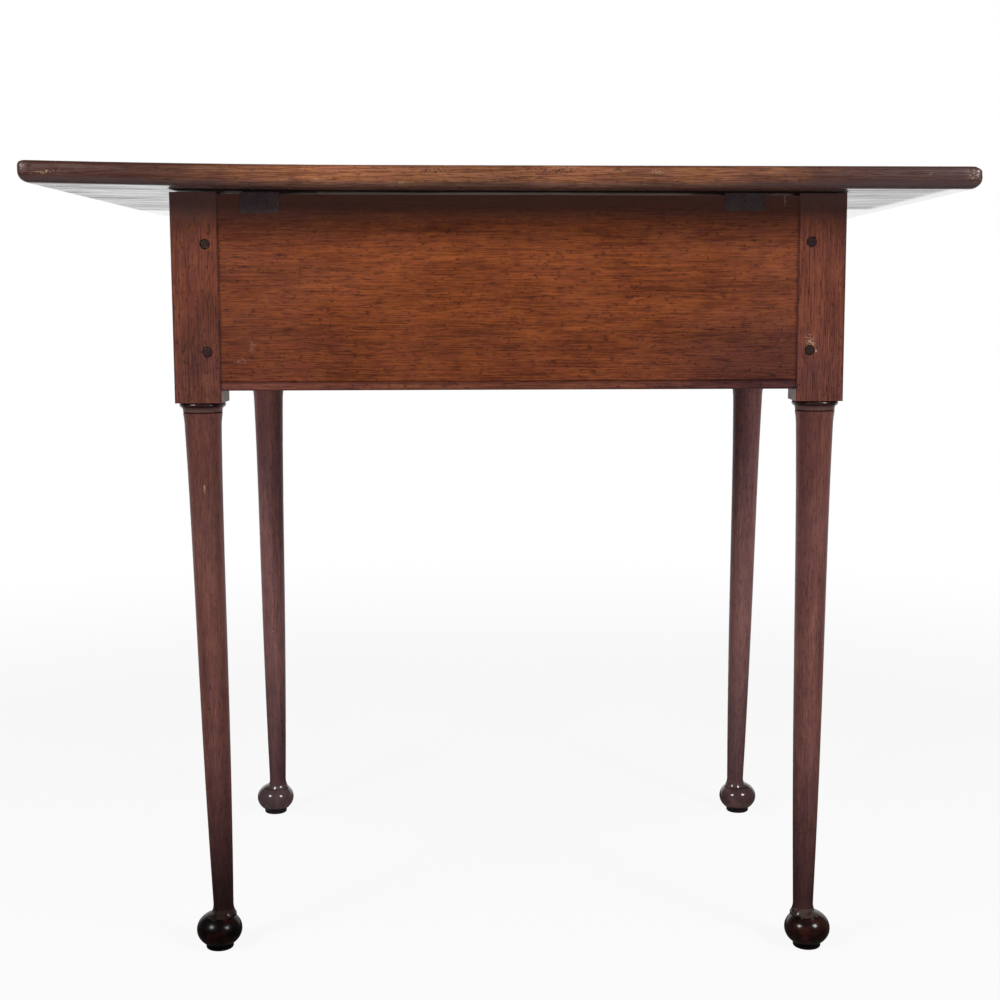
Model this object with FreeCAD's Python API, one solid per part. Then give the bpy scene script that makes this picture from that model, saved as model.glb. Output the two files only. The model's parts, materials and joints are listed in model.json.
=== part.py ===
"""Tavern table: a two-board top on a frame of deep aprons and offset-turned legs with ball feet.

Millimetres, +Z up, +X along the width, front towards -Y. The origin is on the floor, below the
middle of the top. The frame's joints are mortises and tenons, each held by two wooden pegs.
"""
import FreeCAD
import Part
import math
import os

# Top, whose left end has bowed up a little and whose right side sits lower than its left
table_height = 710.0
top_width = 802.0
top_depth = 570.0
top_thickness = 18.5
front_board_depth = 301.0
top_upper_round = 4.2
top_lower_round = 9.0
underside_corner_radius = 5.0
top_bow_length = 310.0
top_bow_rise = 3.5
top_side_fall = 5.3

# How far the top stands out past the frame, which is a little to the right of the top's middle
left_overhang = 113.6
right_overhang = 99.0
long_side_overhang = 65.3

# Leg blocks, up to the top's underside, whose level is given below the top's middle
leg_stock = 41.4
block_height = 182.0
block_arris_round = 0.9

# Aprons, set a hair behind the blocks' faces, their upper edges a little below the top all along it
apron_height = 169.4
apron_thickness = 22.0
apron_set_back = 0.6
apron_top_gap = 1.7
apron_lower_round = 2.2
bead_width = 7.4
bead_groove_width = 1.8
bead_groove_depth = 1.1

# Mortise and tenon joints
tenon_thickness = 9.0
tenon_length = 22.0
tenon_behind_face = 7.0
tenon_upper_shoulder = 18.0
tenon_lower_shoulder = 12.0
mortise_clearance = 0.15
mortise_end_gap = 1.0

# Pegs, driven in from the blocks' outer faces
peg_diameter = 8.6
peg_length = 24.0
peg_proud = 0.4
peg_head_round = 0.5
peg_tip_length = 4.0
peg_tip_diameter = 6.0
peg_from_shoulder = 11.2
upper_peg_drop = 41.4
lower_peg_rise = 34.0
peg_clearance = 0.1
peg_end_gap = 0.5

# Battens, let level into the top edges of the front and rear aprons, and as high as is said here
# below the top's middle
batten_width = 34.5
batten_height = 16.2
left_batten_from_shoulder = 20.1
right_batten_from_shoulder = 30.4
batten_clearance = 0.2

# Batten screws
screw_length = 26.0
screw_head_diameter = 9.0
screw_head_height = 2.6
screw_shank_diameter = 4.6
screw_tip_length = 5.0
screw_tip_diameter = 1.2
screw_slot_width = 1.1
screw_slot_depth = 1.2
screw_clearance = 0.1
screw_place_shares = (0.2, 0.67)

# Collar at the head of each leg's turned part
collar_diameter = 41.2
collar_bead_height = 4.4
collar_bead_bulge = 1.3
collar_step = 0.6
collar_cove_height = 4.0
collar_cove_hollow = 0.5
collar_neck_diameter = 35.2
collar_groove_height = 1.3
collar_groove_depth = 0.7
collar_flare_height = 15.0
collar_flare_hollow = 0.35

# Shaft, whose ankle lies nearer the table's middle than the block and the foot do
shaft_head_diameter = 32.6
shaft_upper_diameter = 29.6
shaft_middle_diameter = 26.8
shaft_lower_diameter = 23.9
ankle_diameter = 18.6
ankle_height = 42.0
ankle_offset = 3.5
shaft_height_shares = (0.0, 0.17, 0.48, 0.73, 1.0)
ankle_lip_diameter = 24.0
ankle_lip_height = 31.5
ankle_lip_edge = 4.0
ankle_lip_hollow = 0.9

# How far to the right of its block each foot stands, as the legs have warped a little
front_left_foot_drift = 2.7
front_right_foot_drift = 2.7
rear_left_foot_drift = -1.7
rear_right_foot_drift = -4.8

# Ball foot with a scored ring, on a small pad
ball_diameter = 42.0
ball_height = 34.0
ball_centre_height = 18.0
ball_ring_diameter = 28.4
ball_ring_width = 1.2
pad_diameter = 25.5
pad_height = 8.0
pad_lower_round = 1.6

cut_overrun = 1.0

# Levels and places that follow from the sizes above
underside = table_height - top_thickness
top_corner_radius = underside_corner_radius + top_lower_round
board_joint_y = front_board_depth - top_depth / 2
frame_side_shift = (left_overhang - right_overhang) / 2
leg_spacing_x = top_width - left_overhang - right_overhang - leg_stock
leg_spacing_y = top_depth - 2 * long_side_overhang - leg_stock
top_tilt = math.degrees(math.asin(top_side_fall / top_width))
block_bottom = underside - block_height
apron_top = underside - apron_top_gap
apron_bottom = apron_top - apron_height
batten_bottom = underside - batten_height
tenon_height = apron_height - tenon_upper_shoulder - tenon_lower_shoulder
tenon_bottom = apron_bottom + tenon_lower_shoulder
peg_levels = {"upper": apron_top - upper_peg_drop, "lower": apron_bottom + lower_peg_rise}
apron_face_x = leg_spacing_x / 2 + leg_stock / 2 - apron_set_back
apron_face_y = leg_spacing_y / 2 + leg_stock / 2 - apron_set_back
long_apron_length = leg_spacing_x - leg_stock
short_apron_length = leg_spacing_y - leg_stock
batten_length = 2 * apron_face_y
batten_middles = {
    "left": frame_side_shift - long_apron_length / 2 + left_batten_from_shoulder + batten_width / 2,
    "right": frame_side_shift + long_apron_length / 2 - right_batten_from_shoulder - batten_width / 2,
}
foot_drifts = {
    ("front", "left"): front_left_foot_drift,
    ("front", "right"): front_right_foot_drift,
    ("rear", "left"): rear_left_foot_drift,
    ("rear", "right"): rear_right_foot_drift,
}

UP = FreeCAD.Vector(0, 0, 1)
INTO_FRAME = FreeCAD.Vector(0, 1, 0)
ALONG = FreeCAD.Vector(1, 0, 0)
ORIGIN = FreeCAD.Vector(0, 0, 0)
FULL_TURN = math.degrees(2 * math.pi)
QUARTER_TURN = FULL_TURN / 4

# Each apron's turn about Z and the names of its ends, the -X end first before it is turned
aprons = {
    "front": (0, ("left", "right")),
    "right": (QUARTER_TURN, ("front", "rear")),
    "rear": (2 * QUARTER_TURN, ("right", "left")),
    "left": (3 * QUARTER_TURN, ("rear", "front")),
}


def box(size_x, size_y, size_z, x, y, z):
    """A box with its lowest corner at x, y, z."""
    return Part.makeBox(size_x, size_y, size_z, FreeCAD.Vector(x, y, z))


def line(start, end):
    return Part.LineSegment(start, end).toShape()


def bowed(start, end, rise):
    """An arc in the XZ plane from start to end, its middle off the chord by rise, to the left."""
    chord = end - start
    left = FreeCAD.Vector(-chord.z, 0, chord.x)
    left.normalize()
    return Part.Arc(start, (start + end) / 2 + left * rise, end).toShape()


def outline_point(radius, level):
    return FreeCAD.Vector(radius, 0, level)


def turned(edges):
    """The solid that an outline, drawn from the top down, sweeps about the Z axis."""
    head = edges[0].valueAt(edges[0].FirstParameter)
    foot = edges[-1].valueAt(edges[-1].LastParameter)
    head_centre = FreeCAD.Vector(0, 0, head.z)
    foot_centre = FreeCAD.Vector(0, 0, foot.z)
    closing = [line(foot, foot_centre), line(foot_centre, head_centre), line(head_centre, head)]
    return Part.Face(Part.Wire(edges + closing)).revolve(ORIGIN, UP, FULL_TURN)


def in_apron_place(shape, side):
    """Turns and moves a shape drawn for an apron along X, with its outer face on Y = 0, into place."""
    turn = aprons[side][0]
    placed = shape.copy()
    placed.rotate(ORIGIN, UP, turn)
    out = FreeCAD.Rotation(UP, turn).multVec(-INTO_FRAME)
    placed.translate(FreeCAD.Vector(frame_side_shift + out.x * apron_face_x, out.y * apron_face_y, 0))
    return placed


def tilted(shape):
    """Tips a shape with the top, right side down, about the middle of the underside."""
    tipped = shape.copy()
    tipped.rotate(UP * underside, INTO_FRAME, top_tilt)
    return tipped


def room_above(level):
    """What lies just above a level below the top's middle, tipped with the top, to trim pieces under it."""
    return tilted(box(top_width, top_depth, 2 * top_side_fall + cut_overrun,
                      -top_width / 2, -top_depth / 2, level))


def apron_length(side):
    return long_apron_length if side in ("front", "rear") else short_apron_length


def peg_places(side):
    """Each peg of one apron: the end and level it is named by, and its axis's start on the apron's face."""
    places = {}
    for end, sign in zip(aprons[side][1], (-1, 1)):
        for level, height in peg_levels.items():
            x = sign * (apron_length(side) / 2 + peg_from_shoulder)
            places[end, level] = FreeCAD.Vector(x, 0, height)
    return places


def peg_hole(place):
    """What a peg's bore takes out of the block and the tenon, from outside the block's face inwards."""
    start = place - INTO_FRAME * (apron_set_back + cut_overrun)
    depth = cut_overrun + peg_length - peg_proud + peg_end_gap
    return Part.makeCylinder(peg_diameter / 2 + peg_clearance, depth, start, INTO_FRAME)


def peg(place):
    """A round peg, its head a little proud of the block and its tip tapered to start in the bore."""
    shank_length = peg_length - peg_tip_length
    start = place - INTO_FRAME * (apron_set_back + peg_proud)
    shank = Part.makeCylinder(peg_diameter / 2, shank_length, start, INTO_FRAME)
    rim = [edge for edge in shank.Edges if edge.BoundBox.YMax < start.y + peg_proud]
    shank = shank.makeFillet(peg_head_round, rim)
    tip = Part.makeCone(peg_diameter / 2, peg_tip_diameter / 2, peg_tip_length,
                        start + INTO_FRAME * shank_length, INTO_FRAME)
    return shank.fuse(tip)


def mortise(side, sign):
    """The pocket that an apron's tenon needs in the block beyond its shoulder, at one end."""
    depth = tenon_length + mortise_end_gap + cut_overrun
    shoulder = apron_length(side) / 2
    low_x = shoulder - cut_overrun if sign > 0 else -shoulder + cut_overrun - depth
    return box(depth, tenon_thickness + 2 * mortise_clearance, tenon_height + 2 * mortise_clearance,
               low_x, tenon_behind_face - mortise_clearance, tenon_bottom - mortise_clearance)


def apron(side):
    """A board, still too high, with a bead along its lower edge and a tenon, holed for pegs, at each end."""
    length = apron_length(side)
    board = box(length, apron_thickness, apron_height + top_side_fall, -length / 2, 0, apron_bottom)
    lower_arris = [edge for edge in board.Edges
                   if edge.BoundBox.ZMax < apron_bottom + apron_lower_round
                   and edge.BoundBox.YMax < apron_lower_round]
    board = board.makeFillet(apron_lower_round, lower_arris)
    half_width = bead_groove_width / 2
    cutter_radius = (half_width ** 2 + bead_groove_depth ** 2) / (2 * bead_groove_depth)
    groove_start = FreeCAD.Vector(-length / 2, bead_groove_depth - cutter_radius, apron_bottom + bead_width)
    board = board.cut(Part.makeCylinder(cutter_radius, length, groove_start, ALONG))
    tenons = box(length + 2 * tenon_length, tenon_thickness, tenon_height,
                 -length / 2 - tenon_length, tenon_behind_face, tenon_bottom)
    board = board.fuse(tenons)
    for place in peg_places(side).values():
        board = board.cut(peg_hole(place))
    return board.removeSplitter()


def collar():
    """The bead, cove, scored line and flare that lead from the block down to the shaft."""
    bead_foot = block_bottom - collar_bead_height
    cove_foot = bead_foot - collar_cove_height
    groove_foot = cove_foot - collar_groove_height
    flare_foot = groove_foot - collar_flare_height
    bead_root = collar_diameter / 2 - collar_bead_bulge
    neck = collar_neck_diameter / 2
    bead_start = outline_point(bead_root, block_bottom)
    bead_end = outline_point(bead_root, bead_foot)
    cove_start = outline_point(bead_root - collar_step, bead_foot)
    cove_end = outline_point(neck, cove_foot)
    groove_floor = outline_point(neck - collar_groove_depth, (cove_foot + groove_foot) / 2)
    groove_end = outline_point(neck, groove_foot)
    flare_end = outline_point(shaft_head_diameter / 2, flare_foot)
    return turned([bowed(bead_start, bead_end, collar_bead_bulge),
                   line(bead_end, cove_start),
                   bowed(cove_start, cove_end, -collar_cove_hollow),
                   line(cove_end, groove_floor),
                   line(groove_floor, groove_end),
                   bowed(groove_end, flare_end, -collar_flare_hollow)])


def shaft(lean):
    """The tapered shaft, whose centre line leans over to the ankle."""
    head = (block_bottom - collar_bead_height - collar_cove_height - collar_groove_height
            - collar_flare_height)
    diameters = (shaft_head_diameter, shaft_upper_diameter, shaft_middle_diameter, shaft_lower_diameter,
                 ankle_diameter)
    rings = []
    for share, diameter in zip(shaft_height_shares, diameters):
        centre = lean * share + UP * (head + (ankle_height - head) * share)
        rings.append(Part.Wire(Part.makeCircle(diameter / 2, centre, UP)))
    return Part.makeLoft(rings, True)


def ankle_lip(lean):
    """The flare at the foot of the shaft, which stands out of the ball as a lip on its inner side."""
    ankle = outline_point(ankle_diameter / 2, ankle_height)
    lip = outline_point(ankle_lip_diameter / 2, ankle_lip_height)
    edge_foot = outline_point(ankle_lip_diameter / 2, ankle_lip_height - ankle_lip_edge)
    flare = turned([bowed(ankle, lip, -ankle_lip_hollow), line(lip, edge_foot)])
    flare.translate(lean)
    return flare


def ball_foot():
    """The flattened ball with a ring scored round its crown, and the pad under it."""
    squash = FreeCAD.Matrix()
    squash.scale(ball_diameter / 2, ball_diameter / 2, ball_height / 2)
    ball = Part.makeSphere(1).transformGeometry(squash)
    ball.translate(UP * ball_centre_height)
    ring_rise = ball_height / 2 * math.sqrt(1 - (ball_ring_diameter / ball_diameter) ** 2)
    ring = Part.makeTorus(ball_ring_diameter / 2, ball_ring_width / 2,
                          UP * (ball_centre_height + ring_rise))
    pad = Part.makeCylinder(pad_diameter / 2, pad_height)
    pad_rim = [edge for edge in pad.Edges if edge.BoundBox.ZMax < pad_height / 2]
    pad = pad.makeFillet(pad_lower_round, pad_rim)
    return ball.cut(ring).fuse(pad)


def leg(row, side, cutters):
    """One leg: a square block, cut to the top's tilt, mortised and bored, and the turned parts below."""
    sign_x = 1 if side == "right" else -1
    sign_y = 1 if row == "rear" else -1
    inwards = FreeCAD.Vector(-sign_x, -sign_y, 0)
    drift = ALONG * foot_drifts[row, side]
    lean = inwards * ankle_offset + drift
    foot = ball_foot()
    foot.translate(drift)
    block = box(leg_stock, leg_stock, block_height + top_side_fall,
                -leg_stock / 2, -leg_stock / 2, block_bottom)
    arrises = [edge for edge in block.Edges if edge.BoundBox.ZLength > block_height / 2]
    block = block.makeFillet(block_arris_round, arrises)
    whole = block.multiFuse([collar(), shaft(lean), ankle_lip(lean), foot])
    whole.translate(FreeCAD.Vector(frame_side_shift + sign_x * leg_spacing_x / 2,
                                   sign_y * leg_spacing_y / 2, 0))
    return whole.cut(Part.makeCompound(cutters))


def screw_places():
    """Each screw's batten and number, front to rear, with its place in plan: two screws to a board."""
    inside = apron_face_y - apron_thickness
    front = [share * (board_joint_y + inside) - inside for share in screw_place_shares]
    rear = [inside - share * (inside - board_joint_y) for share in reversed(screw_place_shares)]
    places = {}
    for side, middle in batten_middles.items():
        for number, y in enumerate(front + rear, 1):
            places[side, number] = FreeCAD.Vector(middle, y, 0)
    return places


def screw(place, clearance):
    """A slotted screw driven up from below, or with a clearance the hole that it needs."""
    foot = place + UP * batten_bottom
    head_radius = screw_head_diameter / 2 + clearance
    shank_radius = screw_shank_diameter / 2 + clearance
    straight = screw_length - screw_tip_length
    body = Part.makeCone(head_radius, shank_radius, screw_head_height, foot, UP)
    body = body.fuse(Part.makeCylinder(shank_radius, straight, foot, UP))
    tip_radius = screw_tip_diameter / 2 + clearance
    tip = Part.makeCone(shank_radius, tip_radius, screw_tip_length + clearance, foot + UP * straight, UP)
    return body.fuse(tip)


def slotted(body, place):
    """The screw with the slot cut across its head."""
    return body.cut(box(screw_head_diameter + 2 * cut_overrun, screw_slot_width,
                        screw_slot_depth + cut_overrun,
                        place.x - screw_head_diameter / 2 - cut_overrun, place.y - screw_slot_width / 2,
                        batten_bottom - cut_overrun))


def batten_strip(side, clearance, overrun):
    """A strip, still too high, from the front apron's face to the rear one's, or the notches it needs."""
    width = batten_width + 2 * clearance
    length = batten_length + 2 * overrun
    return box(width, length, batten_height + top_side_fall + overrun,
               batten_middles[side] - width / 2, -length / 2, batten_bottom)


def batten(side):
    """A batten, planed to the top's fall and holed for its screws."""
    strip = batten_strip(side, 0, 0).cut(room_above(underside))
    for (screw_side, _), place in screw_places().items():
        if screw_side == side:
            strip = strip.cut(screw(place, screw_clearance))
    return strip


def bowed_slab():
    """The top as one square-edged slab, level but for its left end, which follows an arc upwards."""
    half_width = top_width / 2
    bow_start = top_bow_length - half_width
    bow_radius = (top_bow_length ** 2 + top_bow_rise ** 2) / (2 * top_bow_rise)
    bow_centre = FreeCAD.Vector(bow_start, 0, underside + bow_radius)
    bow_angle = math.asin(top_bow_length / bow_radius)

    def on_bow(radius, angle):
        return bow_centre - FreeCAD.Vector(math.sin(angle), 0, math.cos(angle)) * radius

    def bow(radius, start, end):
        """The arc as a spline tangent to it at both ends, along which the rounds roll however flat it is."""
        onwards = math.copysign(1, end - start)
        ways = [FreeCAD.Vector(-math.cos(angle), 0, math.sin(angle)) * onwards for angle in (start, end)]
        curve = Part.BSplineCurve()
        curve.interpolate(Points=[on_bow(radius, start), on_bow(radius, end)],
                          InitialTangent=ways[0], FinalTangent=ways[1])
        return curve.toShape()

    upper_radius = bow_radius - top_thickness
    lower_right = FreeCAD.Vector(half_width, 0, underside)
    upper_right = FreeCAD.Vector(half_width, 0, table_height)
    section = Part.Wire([
        line(lower_right, on_bow(bow_radius, 0)),
        bow(bow_radius, 0, bow_angle),
        line(on_bow(bow_radius, bow_angle), on_bow(upper_radius, bow_angle)),
        bow(upper_radius, bow_angle, 0),
        line(on_bow(upper_radius, 0), upper_right),
        line(upper_right, lower_right),
    ])
    slab = Part.Face(section).extrude(INTO_FRAME * top_depth)
    slab.translate(INTO_FRAME * (-top_depth / 2))
    return slab


def top_boards():
    """Both boards, as one slab rounded along its edges and parted at the glue joint."""
    slab = bowed_slab()
    corners = [edge for edge in slab.Edges if edge.BoundBox.ZLength > top_thickness / 2]
    slab = slab.makeFillet(top_corner_radius, corners)
    mid_level = underside + top_thickness / 2
    slab = slab.makeFillet(top_upper_round, [edge for edge in slab.Edges if edge.BoundBox.ZMin > mid_level])
    slab = slab.makeFillet(top_lower_round, [edge for edge in slab.Edges if edge.BoundBox.ZMax < mid_level])
    front = box(top_width, front_board_depth, top_thickness + top_bow_rise,
                -top_width / 2, -top_depth / 2, underside)
    return {"top_front_board": slab.common(front), "top_rear_board": slab.cut(front)}


def table():
    """Every piece by its node's name, in the order of assembly."""
    pieces = {}
    cutters = {(row, side): [room_above(underside)]
               for row in ("front", "rear") for side in ("left", "right")}
    notches = [batten_strip(side, batten_clearance, cut_overrun) for side in ("left", "right")]
    apron_cuts = Part.makeCompound(notches + [room_above(apron_top)])
    for side, (_, ends) in aprons.items():
        pieces[f"{side}_apron"] = in_apron_place(apron(side), side).cut(apron_cuts)
        for end, sign in zip(ends, (-1, 1)):
            block = (side, end) if side in ("front", "rear") else (end, side)
            cutters[block].append(in_apron_place(mortise(side, sign), side))
            for level in peg_levels:
                place = peg_places(side)[end, level]
                cutters[block].append(in_apron_place(peg_hole(place), side))
                pieces[f"{side}_apron_{end}_{level}_peg"] = in_apron_place(peg(place), side)
    for (row, side), cuts in cutters.items():
        pieces[f"{row}_{side}_leg"] = leg(row, side, cuts)
    for side in ("left", "right"):
        pieces[f"{side}_batten"] = batten(side)
    for (side, number), place in screw_places().items():
        pieces[f"{side}_batten_screw_{number}"] = slotted(screw(place, 0), place)
    screw_holes = Part.makeCompound([screw(place, screw_clearance) for place in screw_places().values()])
    for name, board in top_boards().items():
        pieces[name] = tilted(board).cut(screw_holes)
    return pieces


os.makedirs("parts", exist_ok=True)
for node, shape in table().items():
    solids = shape.Solids
    print(node, len(solids), "solid", "valid" if shape.isValid() else "not valid", round(shape.Volume))
    solids[0].exportStep(f"parts/{node}.step")
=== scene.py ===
"""Looks of a walnut tavern table, in metres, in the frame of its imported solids."""
import json
import math

import bmesh
import bpy
from mathutils import Matrix, Vector, noise


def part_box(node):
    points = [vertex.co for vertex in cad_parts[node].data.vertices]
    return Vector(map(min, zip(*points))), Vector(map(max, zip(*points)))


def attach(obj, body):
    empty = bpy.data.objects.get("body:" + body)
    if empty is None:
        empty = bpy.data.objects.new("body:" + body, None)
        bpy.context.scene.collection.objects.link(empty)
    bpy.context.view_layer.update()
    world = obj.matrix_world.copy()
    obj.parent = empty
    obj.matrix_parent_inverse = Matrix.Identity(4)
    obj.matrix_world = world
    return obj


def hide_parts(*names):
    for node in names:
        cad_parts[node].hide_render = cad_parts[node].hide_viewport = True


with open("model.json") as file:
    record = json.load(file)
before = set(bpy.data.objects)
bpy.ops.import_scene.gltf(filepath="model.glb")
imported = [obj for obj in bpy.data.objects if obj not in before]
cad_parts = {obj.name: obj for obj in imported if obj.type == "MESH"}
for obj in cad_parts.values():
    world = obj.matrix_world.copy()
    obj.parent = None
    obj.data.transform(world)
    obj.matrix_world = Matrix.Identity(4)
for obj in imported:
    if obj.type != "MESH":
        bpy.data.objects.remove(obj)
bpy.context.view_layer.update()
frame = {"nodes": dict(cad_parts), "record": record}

# Legs. Each is one length of walnut: a square block above, then a collar, a tapered shaft turned
# about a shifted centre, and a ball foot on a small pad. The wax has blackened towards the feet,
# and painted shade darkens the lower shaft and the feet further; the rear legs carry a painted haze.
LEG_LIGHT = (0.280, 0.080, 0.041)
LEG_DARK = (0.095, 0.028, 0.015)
LEG_PORE = (0.022, 0.008, 0.006)
LEG_LOG_STEP = (0.37, 0.11)
LEG_LOG_DEPTH = 0.05
LEG_COAT_ROUGHNESS = 0.12
LEG_HALF = 0.0207
LEG_GRIME = (0.45, 0.45, 0.55)
LEG_GRIME_INSIDE_EDGE = 0.0014
LEG_GRIME_PAST_EDGE = 0.0006
LEG_GRIME_RAGGEDNESS = 0.001
# The frame's dust colours and levels here are partly grey dust and partly a painted grey tint of the shade
# below the top.
LEG_DUST_AND_SHADE_TINT = (0.195, 0.108, 0.100)
FRAME_DUST_AND_SHADE_LEVELS = (0.662, 0.687)
FRAME_DUST_AND_SHADE_STRENGTH = 0.75
BLOCK_FOOT = 0.5095
BLOCK_LOW_TINT = (0.90, 1.02, 1.28)
BLOCK_LOW_LEVELS = (0.60, 0.53)
PEG_STAIN_SPREAD = 2.1
PEG_STAIN_STRENGTH = 0.75
COLLAR_BEAD_FOOT = 0.5051
COLLAR_BEAD_BLACK = (0.22, 0.20, 0.26)
COLLAR_BEAD_POLISH = 0.6
COLLAR_COVE_FOOT = 0.5011
COLLAR_COVE_GREY = (0.085, 0.058, 0.054)
COLLAR_COVE_GREYNESS = 0.6
COLLAR_SCORE_FOOT = 0.4998
COLLAR_SCORE_BLACK = (0.25, 0.25, 0.30)
TURNED_EDGE_SOFTNESS = 0.0005
SHAFT_TINT = (1.10, 1.34, 1.74)
SHAFT_WAX = (0.150, 0.063, 0.047)
SHAFT_WAX_SHARE = 0.36
SHAFT_STREAK = (0.66, 0.64, 0.67)
SHAFT_STREAK_BANDS = (0.15, 0.85)
SHAFT_RUBBING = (1.30, 1.24, 1.16)
SHAFT_RUBBED_LEVELS = (0.17, 0.39)
SHAFT_RUBBING_SOFTNESS = 0.07
SHAFT_TOP_TINT = (0.97, 0.84, 0.77)
SHAFT_TOP_LEVELS = (0.39, 0.47)
SHAFT_ROUGHNESS = 0.42
# The ankle's darkening is partly dirt and partly painted shade.
ANKLE_BLACK = (0.17, 0.16, 0.19)
ANKLE_DARKENING_LEVEL = 0.19
ANKLE_POLISH_LEVEL = 0.05
RING_LEVEL = 0.0305
RING_HALF = 0.0004
BALL_LEVEL = 0.0345
BALL_EDGE_SOFTNESS = 0.001
CAP_DUST = (0.085, 0.066, 0.058)
CAP_DUST_LEVELS = (0.0311, 0.0370)
PAD_LEVEL = 0.0078
PAD_EDGE_SOFTNESS = 0.0008
PAD_BLACK = (0.15, 0.15, 0.18)
SMOOTH_FOOT_LEVELS = (0.03, 0.1)
BARE_WOOD = (0.47, 0.33, 0.22)
NICK_BARENESS = 0.8
SPECK_BARENESS = 0.7
SPECKS_TO_THE_METRE = 620.0


def put(tree, kind, inputs=(), **settings):
    """A shader node with its settings, and its inputs, by name or number, as values or links."""
    made = tree.nodes.new("ShaderNode" + kind)
    for name, value in settings.items():
        setattr(made, name, value)
    for name, value in dict(inputs).items():
        if isinstance(value, bpy.types.NodeSocket):
            tree.links.new(value, made.inputs[name])
        else:
            made.inputs[name].default_value = value
    return made


def work(tree, operation, first, second=0.0):
    """A sum worked out on one or two values."""
    return put(tree, "Math", {0: first, 1: second}, operation=operation).outputs[0]


def shift(tree, operation, first, second):
    """A sum worked out on two places."""
    return put(tree, "VectorMath", {0: first, 1: second}, operation=operation).outputs[0]


def faded(tree, value, start, end, low=0.0, high=1.0):
    """Low where the value is at start or before it, high at end or past it, softly between."""
    step = {0: value, 1: start, 2: end, 3: low, 4: high}
    return put(tree, "MapRange", step, interpolation_type="SMOOTHSTEP").outputs[0]


def above(tree, value, line, soft):
    """1 where the value is past the line, and 0 short of it."""
    return faded(tree, value, line - soft, line + soft)


def below(tree, value, line, soft):
    """1 where the value is short of the line, and 0 past it."""
    return faded(tree, value, line + soft, line - soft)


def between(tree, value, low, high, soft=0.0004):
    """1 where the value is between low and high, and 0 past them."""
    return work(tree, "MULTIPLY", above(tree, value, low, soft), below(tree, value, high, soft))


def off_middle(tree, value, middle):
    """How far the value lies from the middle, to either side."""
    return work(tree, "ABSOLUTE", work(tree, "SUBTRACT", value, middle))


def cloud(tree, place, along, across, detail=2.0, start=0.3, end=0.7):
    """Soft noise, with so many clouds to the metre along and across the grain."""
    scaled = shift(tree, "MULTIPLY", place, (along, across, across))
    drift = put(tree, "TexNoise", {"Vector": scaled, "Scale": 1.0, "Detail": detail, "Roughness": 0.6})
    return faded(tree, drift.outputs[0], start, end)


def stained(tree, mask, under, over, blend="MIX"):
    """The under colour, with the over colour laid on where the mask is 1."""
    over = over if isinstance(over, bpy.types.NodeSocket) else (*over, 1.0)
    under = under if isinstance(under, bpy.types.NodeSocket) else (*under, 1.0)
    mixed = put(tree, "Mix", {0: mask, 6: under, 7: over}, data_type="RGBA", blend_type=blend)
    return mixed.outputs[2]


def tinted(tree, mask, under, tint):
    """The under colour, times the tint where the mask is 1."""
    return stained(tree, mask, under, tint, "MULTIPLY")


def new_group(name, takes, gives):
    """An empty node group with its named sockets, and its first and last nodes."""
    group = bpy.data.node_groups.new(name, "ShaderNodeTree")
    for label, kind in takes.items():
        group.interface.new_socket(label, in_out="INPUT", socket_type="NodeSocket" + kind)
    for label, kind in gives.items():
        group.interface.new_socket(label, in_out="OUTPUT", socket_type="NodeSocket" + kind)
    start = group.nodes.new("NodeGroupInput").outputs
    end = group.nodes.new("NodeGroupOutput").inputs
    return group, start, end


GRAIN_SWAYS_TO_THE_METRE = (7.0, 12.0, 12.0)
GRAIN_SWAY_REACH = (0.0, 0.0045, 0.0045)
NOISE_MIDDLE = (0.5, 0.5, 0.5)
BAND_SHARE = 0.30
RIB_SHARE = 0.46
TONE_SHARE = 0.24
MOTTLE_RED = (0.86, 0.82, 1.02)
PORE_STRENGTH = 0.5
FLECK_STRENGTH = 0.55
LINE_STRENGTH = 0.6
RIB_HEIGHT = 0.5


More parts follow.
